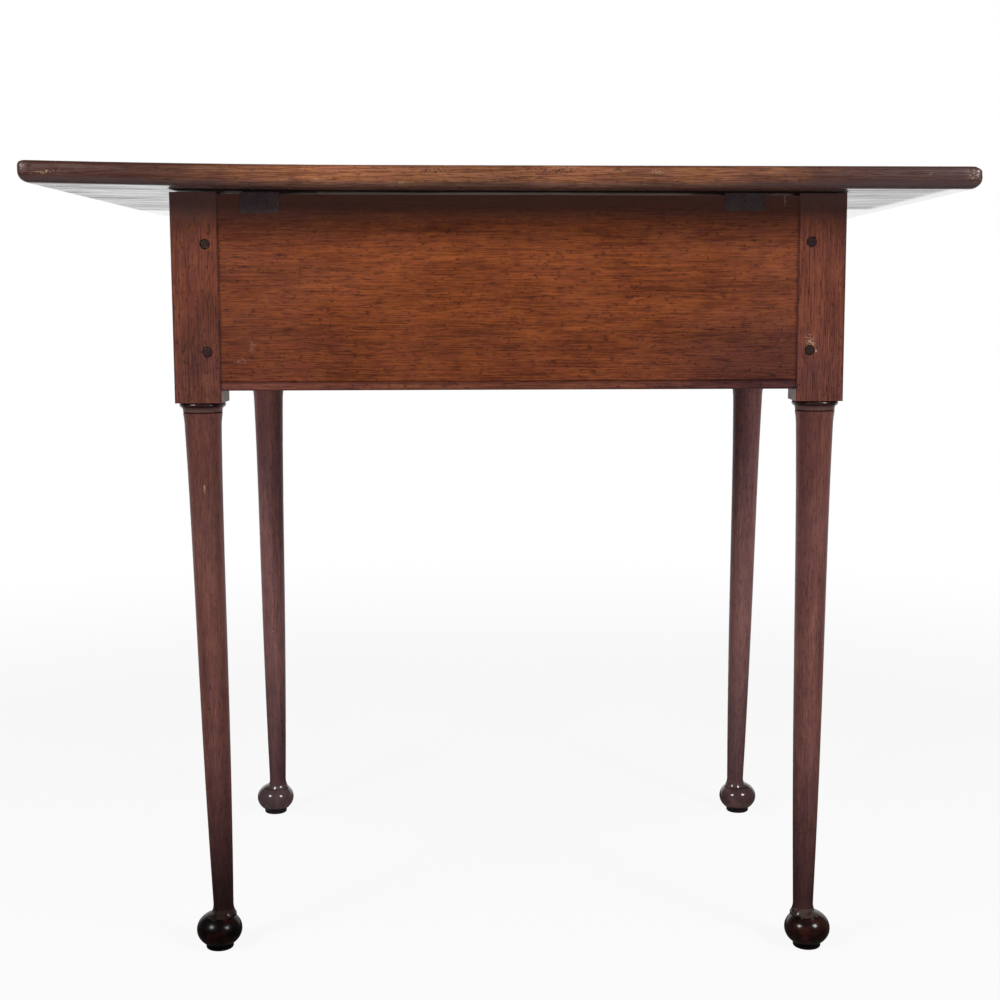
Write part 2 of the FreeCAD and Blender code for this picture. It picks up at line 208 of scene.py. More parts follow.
def make_walnut_grain():
    """Walnut's figure: wandering bands, fine ribs, red mottle, pores, dark flecks and a few long lines."""
    group, start, end = new_group(
        "walnut grain",
        {"Place": "Vector", "Light": "Color", "Dark": "Color", "Pore": "Color"},
        {"Color": "Color", "Height": "Float", "Streaks": "Float", "Bands": "Float", "Tone": "Float"})
    sway_place = shift(group, "MULTIPLY", start["Place"], GRAIN_SWAYS_TO_THE_METRE)
    sway = put(group, "TexNoise", {"Vector": sway_place, "Scale": 1.0, "Detail": 2.0}).outputs["Color"]
    sway = shift(group, "SUBTRACT", sway, NOISE_MIDDLE)
    sway = shift(group, "MULTIPLY", sway, GRAIN_SWAY_REACH)
    place = shift(group, "ADD", start["Place"], sway)
    bands = cloud(group, place, along=3.0, across=48.0, detail=4.0)
    ribs = cloud(group, place, along=24.0, across=1050.0, detail=2.0, start=0.36, end=0.64)
    tone = cloud(group, start["Place"], along=13.0, across=24.0, detail=4.0, start=0.34, end=0.68)
    mottle = cloud(group, place, along=60.0, across=110.0, detail=3.0, start=0.40, end=0.60)
    pores = cloud(group, place, along=90.0, across=1000.0, detail=1.0, start=0.54, end=0.66)
    flecks = cloud(group, place, along=210.0, across=340.0, start=0.60, end=0.69)
    lines = cloud(group, place, along=4.5, across=230.0, start=0.68, end=0.74)
    share = work(group, "ADD", work(group, "MULTIPLY", bands, BAND_SHARE),
                 work(group, "MULTIPLY", ribs, RIB_SHARE))
    share = work(group, "ADD", share, work(group, "MULTIPLY", tone, TONE_SHARE))
    colour = stained(group, share, start["Dark"], start["Light"])
    colour = tinted(group, mottle, colour, MOTTLE_RED)
    colour = stained(group, work(group, "MULTIPLY", pores, PORE_STRENGTH), colour, start["Pore"])
    colour = stained(group, work(group, "MULTIPLY", flecks, FLECK_STRENGTH), colour, start["Pore"])
    colour = stained(group, work(group, "MULTIPLY", lines, LINE_STRENGTH), colour, start["Pore"])
    height = work(group, "SUBTRACT", work(group, "MULTIPLY", ribs, RIB_HEIGHT), pores)
    group.links.new(colour, end["Color"])
    group.links.new(height, end["Height"])
    group.links.new(ribs, end["Streaks"])
    group.links.new(bands, end["Bands"])
    group.links.new(tone, end["Tone"])
    return group


SPOT_RAGGEDNESS = 0.9
SPOT_EDGE = (1.05, 0.8)


def make_worn_spot():
    """A ragged spot about a centre, where the finish has been knocked off or something has dried on."""
    group, start, end = new_group(
        "worn spot", {"Place": "Vector", "Centre": "Vector", "Reach": "Vector"}, {"Mask": "Float"})
    away = shift(group, "SUBTRACT", start["Place"], start["Centre"])
    away = shift(group, "DIVIDE", away, start["Reach"])
    distance = put(group, "VectorMath", {0: away}, operation="LENGTH").outputs["Value"]
    ragged = cloud(group, start["Place"], along=420.0, across=420.0, detail=3.0, start=0.25, end=0.75)
    distance = work(group, "ADD", distance, work(group, "MULTIPLY", ragged, SPOT_RAGGEDNESS))
    group.links.new(faded(group, distance, *SPOT_EDGE), end["Mask"])
    return group


def make_frame_dust_and_shade():
    """Grey dust that lies on the frame just below the top, mixed with a painted grey tint of the shade
    there.
    """
    group, start, end = new_group(
        "frame dust and painted shade", {"Level": "Float", "Color": "Color", "Dust and shade": "Color"}, {"Color": "Color"})
    dust_and_shade_share = faded(group, start["Level"], *FRAME_DUST_AND_SHADE_LEVELS, 0.0, FRAME_DUST_AND_SHADE_STRENGTH)
    group.links.new(stained(group, dust_and_shade_share, start["Color"], start["Dust and shade"]), end["Color"])
    return group


walnut_grain = make_walnut_grain()
worn_spot = make_worn_spot()
frame_dust_and_shade = make_frame_dust_and_shade()


def new_finish(name, specular, roughness=0.5):
    """A material, its tree, its shader, and the place on the piece."""
    material = bpy.data.materials.new(name)
    material.use_nodes = True
    tree = material.node_tree
    shader = tree.nodes["Principled BSDF"]
    shader.inputs["Roughness"].default_value = roughness
    shader.inputs["Specular IOR Level"].default_value = specular
    return material, tree, shader, put(tree, "TexCoord").outputs["Object"]


def grained(tree, place, grain, light, dark, pore, cut_from):
    """Walnut's figure with its grain along X, Y or Z, cut from its own place in the log."""
    parts = put(tree, "SeparateXYZ", {0: place}).outputs
    order = {"X": "XYZ", "Y": "YXZ", "Z": "ZXY"}[grain]
    lengthwise = put(tree, "CombineXYZ", {number: parts[axis] for number, axis in enumerate(order)})
    log_place = put(tree, "Mapping", {"Vector": lengthwise.outputs[0], "Location": cut_from}).outputs[0]
    colours = {"Light": (*light, 1.0), "Dark": (*dark, 1.0), "Pore": (*pore, 1.0)}
    return put(tree, "Group", {"Place": log_place, **colours}, node_tree=walnut_grain).outputs


def marked(tree, place, colour, marks, mark_colour, strength, specks_to_the_metre=0.0):
    """The colour with its worn spots, each a centre and a reach, left whole or broken up into specks."""
    if not marks:
        return colour
    mask = 0.0
    for centre, reach in marks:
        spot = put(tree, "Group", {"Place": place, "Centre": centre, "Reach": reach}, node_tree=worn_spot)
        mask = work(tree, "MAXIMUM", spot.outputs["Mask"], mask)
    if specks_to_the_metre:
        specks = cloud(tree, place, along=specks_to_the_metre, across=2.0 * specks_to_the_metre,
                       start=0.48, end=0.60)
        mask = work(tree, "MULTIPLY", mask, specks)
    return stained(tree, work(tree, "MULTIPLY", mask, strength), colour, mark_colour)


def dusted_and_shade_tinted(tree, level, colour, dust):
    """The colour with the frame's dust, and the painted tint of the shade below the top, of this colour on
    it.
    """
    layer = {"Level": level, "Color": colour, "Dust and shade": (*dust, 1.0)}
    return put(tree, "Group", layer, node_tree=frame_dust_and_shade).outputs["Color"]


def raise_grain(tree, shader, height, depth=0.00015, strength=0.4):
    """The grain's ribs and pores, as fine relief."""
    bump = put(tree, "Bump", {"Height": height, "Distance": depth, "Strength": strength})
    tree.links.new(bump.outputs[0], shader.inputs["Normal"])


def wear(node, finish):
    """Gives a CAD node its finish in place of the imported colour."""
    node.data.materials.clear()
    node.data.materials.append(finish)


def block_middle(leg):
    """The middle of a leg's block, taken from the one side that the foot doesn't reach past."""
    low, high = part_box(leg)
    x = low.x + LEG_HALF if leg.startswith("front") else high.x - LEG_HALF
    return Vector((x, (low.y + high.y) / 2, 0.0))


def peg_stains(middle):
    """The ragged dark stains about the pegs in the block with this middle."""
    marks = []
    for name in frame["nodes"]:
        if name.endswith("_peg"):
            low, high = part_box(name)
            centre = (low + high) / 2
            if max(abs(centre.x - middle.x), abs(centre.y - middle.y)) < LEG_HALF:
                marks.append((centre, (high - low) / 2 * PEG_STAIN_SPREAD))
    return marks


def leg_finish(leg, cut_from, wax, ankle_dirt_and_shade, ball_colours, ball_polish, ball_roughness, cap_dust,
               nicks, specks=()):
    """Dark wax on walnut: red brown on the block, duller down the shaft, darkest on the ball, with painted
    shade towards the feet.
    """
    material, tree, shader, place = new_finish(leg.replace("_", " ") + " walnut", specular=0.16)
    figure = grained(tree, place, "Z", LEG_LIGHT, LEG_DARK, LEG_PORE, cut_from)
    parts = put(tree, "SeparateXYZ", {0: place}).outputs
    level = parts["Z"]
    shaft = below(tree, level, COLLAR_SCORE_FOOT, TURNED_EDGE_SOFTNESS)
    colour = tinted(tree, shaft, figure["Color"], wax)
    middle = block_middle(leg)
    edge = work(tree, "MINIMUM", off_middle(tree, parts["X"], middle.x),
                off_middle(tree, parts["Y"], middle.y))
    edge = work(tree, "ADD", edge, work(tree, "MULTIPLY", figure["Tone"], LEG_GRIME_RAGGEDNESS))
    grime = faded(tree, edge, LEG_HALF - LEG_GRIME_INSIDE_EDGE, LEG_HALF + LEG_GRIME_PAST_EDGE)
    grime = work(tree, "MULTIPLY", grime, above(tree, level, BLOCK_FOOT, TURNED_EDGE_SOFTNESS))
    colour = tinted(tree, grime, colour, LEG_GRIME)
    colour = tinted(tree, faded(tree, level, *BLOCK_LOW_LEVELS), colour, BLOCK_LOW_TINT)
    # painted shade tint: the grey laid on the block just below the top is partly dust and partly the grey
    # of the shade there
    colour = dusted_and_shade_tinted(tree, level, colour, LEG_DUST_AND_SHADE_TINT)
    colour = marked(tree, place, colour, peg_stains(middle), LEG_PORE, PEG_STAIN_STRENGTH)
    colour = tinted(tree, shaft, colour, SHAFT_TINT)
    # On the rear legs the per-leg wax tint is partly a painted haze of glare.
    waxed = [base * tint for base, tint in zip(SHAFT_WAX, wax)]
    colour = stained(tree, work(tree, "MULTIPLY", shaft, SHAFT_WAX_SHARE), colour, waxed)
    streaks = work(tree, "MULTIPLY", shaft, faded(tree, figure["Bands"], *SHAFT_STREAK_BANDS))
    colour = tinted(tree, streaks, colour, SHAFT_STREAK)
    rubbed = between(tree, level, *SHAFT_RUBBED_LEVELS, SHAFT_RUBBING_SOFTNESS)
    colour = tinted(tree, rubbed, colour, SHAFT_RUBBING)
    shaft_top = work(tree, "MULTIPLY", shaft, faded(tree, level, *SHAFT_TOP_LEVELS))
    colour = tinted(tree, shaft_top, colour, SHAFT_TOP_TINT)
    bead = between(tree, level, COLLAR_BEAD_FOOT, BLOCK_FOOT)
    colour = tinted(tree, bead, colour, COLLAR_BEAD_BLACK)
    cove = between(tree, level, COLLAR_COVE_FOOT, COLLAR_BEAD_FOOT)
    colour = stained(tree, work(tree, "MULTIPLY", cove, COLLAR_COVE_GREYNESS), colour, COLLAR_COVE_GREY)
    score = between(tree, level, COLLAR_SCORE_FOOT, COLLAR_COVE_FOOT)
    colour = tinted(tree, score, colour, COLLAR_SCORE_BLACK)
    # painted shade: the darkening towards the ankle is partly dirt and partly shade painted in
    ankle = faded(tree, level, ANKLE_DARKENING_LEVEL, RING_LEVEL, 0.0, ankle_dirt_and_shade)
    colour = tinted(tree, ankle, colour, ANKLE_BLACK)
    blotch = cloud(tree, place, along=60.0, across=60.0, start=0.40, end=0.66)
    ball = below(tree, level, BALL_LEVEL, BALL_EDGE_SOFTNESS)
    colour = stained(tree, ball, colour, stained(tree, blotch, *ball_colours))
    dust = work(tree, "MULTIPLY", between(tree, level, *CAP_DUST_LEVELS),
                cloud(tree, place, along=160.0, across=160.0, start=0.30, end=0.55))
    colour = stained(tree, work(tree, "MULTIPLY", dust, cap_dust), colour, CAP_DUST)
    ring = between(tree, level, RING_LEVEL - RING_HALF, RING_LEVEL + RING_HALF)
    colour = tinted(tree, ring, colour, COLLAR_SCORE_BLACK)
    pad = below(tree, level, PAD_LEVEL, PAD_EDGE_SOFTNESS)
    colour = tinted(tree, pad, colour, PAD_BLACK)
    colour = marked(tree, place, colour, nicks, BARE_WOOD, NICK_BARENESS)
    colour = marked(tree, place, colour, specks, BARE_WOOD, SPECK_BARENESS, SPECKS_TO_THE_METRE)
    tree.links.new(colour, shader.inputs["Base Color"])
    roughness = faded(tree, level, ANKLE_POLISH_LEVEL, BALL_LEVEL, SHAFT_ROUGHNESS, ball_roughness)
    tree.links.new(roughness, shader.inputs["Roughness"])
    coat = work(tree, "MAXIMUM", work(tree, "MULTIPLY", bead, COLLAR_BEAD_POLISH),
                work(tree, "MULTIPLY", ball, ball_polish))
    tree.links.new(coat, shader.inputs["Coat Weight"])
    shader.inputs["Coat Roughness"].default_value = LEG_COAT_ROUGHNESS
    relief = work(tree, "MULTIPLY", figure["Height"], faded(tree, level, *SMOOTH_FOOT_LEVELS))
    raise_grain(tree, shader, relief)
    return material


LEG_WEAR_AND_PAINTED_LIGHT = {
    "front_left_leg": {
        "wax": (1.0, 1.0, 1.0),
        "ankle_dirt_and_shade": 1.0,
        "ball_colours": ((0.0025, 0.001, 0.001), (0.020, 0.004, 0.003)),
        "ball_polish": 0.14,
        "ball_roughness": 0.28,
        "cap_dust": 0.25,
        "nicks": (((-0.2643, -0.2145, 0.4318), (0.0020, 0.004, 0.0062)),),
    },
    "front_right_leg": {
        "wax": (1.12, 1.16, 1.18),
        "ankle_dirt_and_shade": 0.75,
        "ball_colours": ((0.012, 0.0032, 0.0026), (0.046, 0.011, 0.007)),
        "ball_polish": 0.36,
        "ball_roughness": 0.24,
        "cap_dust": 0.8,
        "nicks": (((0.2836, -0.2145, 0.3970), (0.0012, 0.004, 0.0014)),
                  ((0.2775, -0.2197, 0.5535), (0.0012, 0.003, 0.0030))),
        "specks": (((0.2715, -0.2197, 0.5610), (0.0090, 0.003, 0.0100)),),
    },
    # The rear legs' paler, greyer wax tints and ball colours are partly painted light: a painted haze of
    # glare, and brightness standing in for lamp light they get less of.
    "rear_left_leg": {
        "wax": (1.22, 1.42, 1.62),
        "ankle_dirt_and_shade": 0.36,
        "ball_colours": ((0.092, 0.055, 0.057), (0.150, 0.090, 0.088)),
        "ball_polish": 0.80,
        "ball_roughness": 0.15,
        "cap_dust": 0.45,
        "nicks": (((-0.2650, 0.1840, 0.2200), (0.0014, 0.004, 0.0020)),),
    },
    "rear_right_leg": {
        "wax": (1.30, 1.56, 1.80),
        "ankle_dirt_and_shade": 0.32,
        "ball_colours": ((0.082, 0.043, 0.042), (0.145, 0.079, 0.073)),
        "ball_polish": 0.80,
        "ball_roughness": 0.15,
        "cap_dust": 0.45,
        "nicks": (((0.2760, 0.1840, 0.5000), (0.0020, 0.004, 0.0020)),),
    },
}
for number, (leg, leg_wear_and_painted_light) in enumerate(LEG_WEAR_AND_PAINTED_LIGHT.items()):
    cut_from = (LEG_LOG_STEP[0] * number, LEG_LOG_STEP[1] * number, LEG_LOG_DEPTH)
    wear(frame["nodes"][leg], leg_finish(leg, cut_from, **leg_wear_and_painted_light))

# Aprons. Deep walnut boards tenoned into the blocks, their grain running along them, with a bead
# scratched along the lower edge. The outer faces are waxed, with a painted shadow below the top and
# a painted reflection on the bead; the inner faces were left bare, and are painted paler to stand in
# for the light inside the frame.
APRON_LIGHT = (0.365, 0.095, 0.0255)
APRON_DARK = (0.112, 0.027, 0.0090)
APRON_PORE = (0.034, 0.010, 0.006)
APRON_GRAIN = {"front_apron": "X", "rear_apron": "X", "left_apron": "Y", "right_apron": "Y"}
APRON_LOG_STEP = (0.53, 0.21)
APRON_ROUGHNESS = (0.36, 0.48)
APRON_REDDENING = (0.82, 0.86, 1.15)
APRON_REDDENED_REACH = (0.10, 0.30)
APRON_REDDENING_RAGGEDNESS = 0.05
APRON_LOW_CORNER = (0.62, 0.66, 0.90)
APRON_LOW_CORNER_REACH = (-0.12, 0.0)
APRON_LOW_CORNER_LEVELS = (0.590, 0.565)
APRON_GRIME = (0.52, 0.50, 0.60)
JOINT_GRIME_SHORT_OF_BLOCK = 0.0018
JOINT_GRIME_PAST_BLOCK = 0.0008
JOINT_GRIME_RAGGEDNESS = 0.0015
BEAD_GROOVE_ABOVE_FOOT = 0.0074
BEAD_GROOVE_HALF = 0.0011
BEAD_GROOVE_SOFTNESS = 0.0009
BEAD_GROOVE_GRIME = 0.5
# A painted reflection of the floor on the bead.
APRON_BEAD_PAINTED_REFLECTION = (0.85, 1.05, 1.75)
APRON_BEAD_SOFTNESS = 0.0010
APRON_LOW_GRIME = (0.88, 0.87, 0.96)
APRON_LOW_LEVELS = (0.585, 0.550)
# A painted shadow: the upper apron is darkened below the top, carrying the top's shadow further down.
APRON_PAINTED_SHADOW = (0.75, 0.75, 0.82)
APRON_PAINTED_SHADOW_LEVELS = (0.642, 0.668)
# Partly dust, partly a painted tint of the shade below the top.
APRON_DUST_AND_SHADE_TINT = (0.174, 0.078, 0.062)
APRON_STAIN_STRENGTH = 0.75
APRON_FLECK_BARENESS = 0.75
APRON_SPECK_BARENESS = 0.24
# Bare wood painted paler than it is, standing in for light inside the frame.
INSIDE_BARE_PAINTED_BRIGHT = (0.78, 0.68, 0.60)
INSIDE_STREAKS = 0.3
INSIDE_EDGE = (1.0, 0.995)
INSIDE_OVERLAP = 0.001
frame_middle = (block_middle("rear_left_leg") + block_middle("front_right_leg")) / 2
leg_half_spread = block_middle("front_right_leg") - frame_middle
apron_low, apron_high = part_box("front_apron")
right_apron_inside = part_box("right_apron")[0].x
inside_half = (right_apron_inside - frame_middle.x + INSIDE_OVERLAP, -apron_high.y + INSIDE_OVERLAP)


def apron_finish(apron, cut_from, flecks, stains, specks=()):
    """Worn wax, warmest in the middle of the board, grimy along its joints, with a few old marks, and
    painted shade below the top.
    """
    material, tree, shader, place = new_finish(apron.replace("_", " ") + " walnut", specular=0.15)
    grain = APRON_GRAIN[apron]
    figure = grained(tree, place, grain, APRON_LIGHT, APRON_DARK, APRON_PORE, cut_from)
    parts = put(tree, "SeparateXYZ", {0: place}).outputs
    level = parts["Z"]
    lengthwise = off_middle(tree, parts[grain], frame_middle.x if grain == "X" else frame_middle.y)
    end = work(tree, "ADD", lengthwise,
               work(tree, "MULTIPLY", figure["Tone"], APRON_REDDENING_RAGGEDNESS))
    colour = tinted(tree, faded(tree, end, *APRON_REDDENED_REACH), figure["Color"], APRON_REDDENING)
    rightwards = faded(tree, work(tree, "ADD", parts["X"], parts["Y"]), *APRON_LOW_CORNER_REACH)
    low_corner = work(tree, "MULTIPLY", rightwards, faded(tree, level, *APRON_LOW_CORNER_LEVELS))
    colour = tinted(tree, low_corner, colour, APRON_LOW_CORNER)
    shoulder = abs(leg_half_spread.x if grain == "X" else leg_half_spread.y) - LEG_HALF
    ragged_end = work(tree, "ADD", lengthwise,
                      work(tree, "MULTIPLY", figure["Tone"], JOINT_GRIME_RAGGEDNESS))
    joint_grime = faded(tree, ragged_end, shoulder - JOINT_GRIME_SHORT_OF_BLOCK,
                        shoulder + JOINT_GRIME_PAST_BLOCK)
    groove_level = apron_low.z + BEAD_GROOVE_ABOVE_FOOT
    bead_grime = between(tree, level, groove_level - BEAD_GROOVE_HALF, groove_level + BEAD_GROOVE_HALF,
                         BEAD_GROOVE_SOFTNESS)
    bead = below(tree, level, groove_level, APRON_BEAD_SOFTNESS)
    # painted reflection: the bead below the groove is tinted paler and pinker, as the white floor shows on
    # its round
    colour = tinted(tree, bead, colour, APRON_BEAD_PAINTED_REFLECTION)
    grime = work(tree, "MAXIMUM", joint_grime, work(tree, "MULTIPLY", bead_grime, BEAD_GROOVE_GRIME))
    colour = tinted(tree, grime, colour, APRON_GRIME)
    colour = tinted(tree, faded(tree, level, *APRON_LOW_LEVELS), colour, APRON_LOW_GRIME)
    # painted shadow: the apron darkened below the top
    colour = tinted(tree, faded(tree, level, *APRON_PAINTED_SHADOW_LEVELS), colour, APRON_PAINTED_SHADOW)
    # painted shade tint: the grey laid on the apron just below the top is partly dust and partly the grey
    # of the shade there
    colour = dusted_and_shade_tinted(tree, level, colour, APRON_DUST_AND_SHADE_TINT)
    colour = marked(tree, place, colour, stains, APRON_PORE, APRON_STAIN_STRENGTH)
    colour = marked(tree, place, colour, flecks, BARE_WOOD, APRON_FLECK_BARENESS)
    colour = marked(tree, place, colour, specks, BARE_WOOD, APRON_SPECK_BARENESS, SPECKS_TO_THE_METRE)
    inside = work(tree, "MAXIMUM",
                  work(tree, "DIVIDE", off_middle(tree, parts["X"], frame_middle.x), inside_half[0]),
                  work(tree, "DIVIDE", work(tree, "ABSOLUTE", parts["Y"]), inside_half[1]))
    bare_streaks = work(tree, "MULTIPLY", figure["Streaks"], INSIDE_STREAKS)
    # painted light: the bare inner faces are made paler than bare walnut, standing in for light inside the
    # frame
    bare_painted_bright = stained(tree, bare_streaks, INSIDE_BARE_PAINTED_BRIGHT, APRON_LIGHT)
    colour = stained(tree, faded(tree, inside, *INSIDE_EDGE), colour, bare_painted_bright)
    tree.links.new(colour, shader.inputs["Base Color"])
    tree.links.new(faded(tree, figure["Tone"], 0.0, 1.0, *APRON_ROUGHNESS), shader.inputs["Roughness"])
    raise_grain(tree, shader, figure["Height"])
    return material


APRON_WEAR = {
    "front_apron": {
        "flecks": (((0.2476, -0.2191, 0.6840), (0.0014, 0.003, 0.0060)),
                   ((-0.2318, -0.2185, 0.5213), (0.0016, 0.003, 0.0012))),
        "stains": (((0.2221, -0.2191, 0.6493), (0.0036, 0.003, 0.0024)),
                   ((-0.0160, -0.2191, 0.6580), (0.0700, 0.004, 0.0009))),
        "specks": (((-0.2180, -0.2191, 0.5580), (0.0050, 0.003, 0.0090)),
                   ((-0.2270, -0.2191, 0.5463), (0.0120, 0.003, 0.0045))),
    },
    "rear_apron": {
        "flecks": (((0.1100, 0.2191, 0.5600), (0.0050, 0.003, 0.0014)),),
        "stains": (((-0.0900, 0.2191, 0.6400), (0.0040, 0.003, 0.0024)),),
    },
    "left_apron": {
        "flecks": (((-0.2868, 0.0600, 0.5400), (0.003, 0.0050, 0.0014)),),
        "stains": (((-0.2868, -0.0300, 0.6300), (0.003, 0.0400, 0.0009)),),
    },
    "right_apron": {
        "flecks": (((0.3014, -0.0500, 0.6000), (0.003, 0.0016, 0.0050)),),
        "stains": (((0.3014, 0.0800, 0.5900), (0.003, 0.0036, 0.0024)),),
    },
}
for number, (apron, apron_wear) in enumerate(APRON_WEAR.items()):
    cut_from = (APRON_LOG_STEP[0] * number, 0.0, APRON_LOG_STEP[1] * number)
    wear(frame["nodes"][apron], apron_finish(apron, cut_from, **apron_wear))

# Pegs. Riven hardwood, two through each joint, whittled roughly round, driven in from the block's
# outer face and left a hair proud. Their end grain has taken up dirt and gone nearly black.
PEG_LIGHT = (0.058, 0.033, 0.029)
PEG_DARK = (0.030, 0.016, 0.014)
PEG_PORE = (0.012, 0.008, 0.007)
PEG_FLATS = 14
PEG_UNEVENNESS = 0.14
PEG_LUMPS = 1.6
PEG_LUMPS_FROM_PEG_TO_PEG = 40.0
PEG_TIP_SHARE = 0.75
PEG_HEAD_ROUND = 0.0006
PEG_INWARD = {
    "front": (0.0, 1.0, 0.0),
    "rear": (0.0, -1.0, 0.0),
    "left": (1.0, 0.0, 0.0),
    "right": (-1.0, 0.0, 0.0),
}
PEG_CHIPS = (((-0.2556, -0.2201, 0.6453), (0.0012, 0.004, 0.0012)),
             ((-0.2598, -0.2201, 0.5580), (0.0028, 0.004, 0.0010)))
PEG_CHIP_BARENESS = 0.8
SAME_PLACE = 1e-6


def round_over(shape, edges, radius, facets):
    """Rounds the edges to the radius, in so many facets."""
    bmesh.ops.bevel(shape, geom=edges, offset=radius, offset_type="OFFSET", segments=facets, profile=0.5,
                    affect="EDGES", material=-1)


def stand_in(shape, node, finish, sharp_from):
    """The shape, closed and smoothed but for its sharper edges, as a piece in place of the CAD node."""
    bmesh.ops.remove_doubles(shape, verts=shape.verts, dist=SAME_PLACE)
    bmesh.ops.recalc_face_normals(shape, faces=shape.faces)
    for face in shape.faces:
        face.smooth = True
    data = bpy.data.meshes.new(node + "_worn")
    shape.to_mesh(data)
    shape.free()
    data.set_sharp_from_angle(angle=math.radians(sharp_from))
    data.materials.append(finish)
    piece = bpy.data.objects.new(node + "_worn", data)
    bpy.context.scene.collection.objects.link(piece)
    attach(piece, "root")
    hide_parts(node)


def whittled_peg(name):
    """A slightly uneven, tapered peg in the CAD peg's place, its head outwards."""
    low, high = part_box(name)
    inward = Vector(PEG_INWARD[name.split("_")[0]])
    length = abs((high - low).dot(inward))
    radius = (high.z - low.z) / 2
    peg = bmesh.new()
    bmesh.ops.create_cone(peg, cap_ends=True, segments=PEG_FLATS, radius1=radius,
                          radius2=radius * PEG_TIP_SHARE, depth=length)
    for vert in peg.verts:
        round_the_peg = Vector((*vert.co.xy.normalized(), 0.0))
        lump = noise.noise(round_the_peg * PEG_LUMPS + low * PEG_LUMPS_FROM_PEG_TO_PEG)
        vert.co.xy *= 1.0 - PEG_UNEVENNESS * (0.5 + 0.5 * lump)
    head = [edge for edge in peg.edges if all(vert.co.z < 0.0 for vert in edge.verts)]
    round_over(peg, head, PEG_HEAD_ROUND, facets=2)
    turned = inward.to_track_quat("Z", "Y").to_matrix().to_4x4()
    bmesh.ops.transform(peg, matrix=Matrix.Translation((low + high) / 2) @ turned, verts=peg.verts)
    return peg


peg_finishes = {}
for grain in ("X", "Y"):
    material, tree, shader, place = new_finish("peg wood along " + grain, specular=0.05, roughness=0.6)
    figure = grained(tree, place, grain, PEG_LIGHT, PEG_DARK, PEG_PORE, cut_from=(0.0, 0.0, 0.0))
    colour = marked(tree, place, figure["Color"], PEG_CHIPS, BARE_WOOD, PEG_CHIP_BARENESS)
    tree.links.new(colour, shader.inputs["Base Color"])
    raise_grain(tree, shader, figure["Height"])
    peg_finishes[grain] = material
for name in list(frame["nodes"]):
    if name.endswith("_peg"):
        grain = "Y" if name.startswith(("front", "rear")) else "X"
        stand_in(whittled_peg(name), name, peg_finishes[grain], sharp_from=35)

# Battens. Sawn strips let into the aprons' top edges, never finished and grey with dirt.
# They run from the front apron to the rear one and carry the top.
BATTEN_LIGHT = (0.162, 0.115, 0.110)
BATTEN_DARK = (0.094, 0.068, 0.065)
BATTEN_PORE = (0.038, 0.030, 0.029)
for name in ("left_batten", "right_batten"):
    batten_wood = name.replace("_", " ") + " wood"
    material, tree, shader, place = new_finish(batten_wood, specular=0.1, roughness=0.6)
    figure = grained(tree, place, "Y", BATTEN_LIGHT, BATTEN_DARK, BATTEN_PORE, cut_from=(0.0, 0.0, 0.0))
    tree.links.new(figure["Color"], shader.inputs["Base Color"])
    raise_grain(tree, shader, figure["Height"])
    wear(frame["nodes"][name], material)

# Screws. Hand-filed iron with a slotted head, four to a batten, driven up through it into the top.
# They have gone brown with rust.
SCREW_IRON = (0.05, 0.04, 0.035)
SCREW_RUST = (0.16, 0.12, 0.10)
material, tree, shader, place = new_finish("screw iron", specular=0.5, roughness=0.5)
rusted = cloud(tree, place, along=400.0, across=400.0)
tree.links.new(stained(tree, rusted, SCREW_IRON, SCREW_RUST), shader.inputs["Base Color"])
shader.inputs["Metallic"].default_value = 1.0
for name, node in frame["nodes"].items():
    if "_screw_" in name:
        wear(node, material)

# Top. Two walnut boards glued edge to edge and held by the battens' screws, rounded along the edges,
# the left end bowed up. The middle of the front edge is rubbed pale; the ends are dark, and the lower
# edge is dark with dirt and painted shade. The right end's edge and the lower round of the ends carry
# a painted reflection, and a painted shade darkens the underside over the front apron. The underside
# is waxed in smears.
TOP_LIGHT = (0.43, 0.166, 0.068)
TOP_DARK = (0.13, 0.048, 0.022)
TOP_PORE = (0.035, 0.017, 0.014)
TOP_LOG_PLACE = (0.3, 0.4, 0.6)
TOP_ROUGHNESS = (0.24, 0.46)
TOP_COAT_ROUGHNESS = 0.04
TOP_END_DARKENING = (0.29, 0.25, 0.33)
TOP_END_DARK_REACH = (0.20, 0.37)
TOP_END_RAGGEDNESS = 0.10
TOP_END_WAX = (0.078, 0.029, 0.021)
TOP_END_WAX_SHARE = 0.5
UPPER_FACE_RISE = (0.985, 0.999)
UPPER_FACE_END_DARKNESS = 0.35
UPPER_FACE_DULLNESS = 0.28
# A painted reflection of the white floor on the right end's edge.
TOP_RIGHT_PAINTED_REFLECTION = (1.12, 1.50, 1.95)
TOP_RIGHT_REFLECTION_REACH = (0.22, 0.36)
TOP_RUBBING = (1.28, 1.24, 1.18)
LEFT_RUBBING_MIDDLE = -0.13
LEFT_RUBBING_REACH = (0.09, 0.02)
RIGHT_RUBBING_MIDDLE = 0.06
RIGHT_RUBBING_REACH = (0.05, 0.01)
RIGHT_RUBBING_STRENGTH = 0.6
# Dirt and painted shade on the lower round.
TOP_LOWER_DIRT_AND_SHADE = (0.60, 0.80, 1.25)
TOP_LOWER_DIRT_AND_SHADE_RISE = (0.36, 0.06)
TOP_LOWER_DIRT_AND_SHADE_AT_ENDS = 0.1
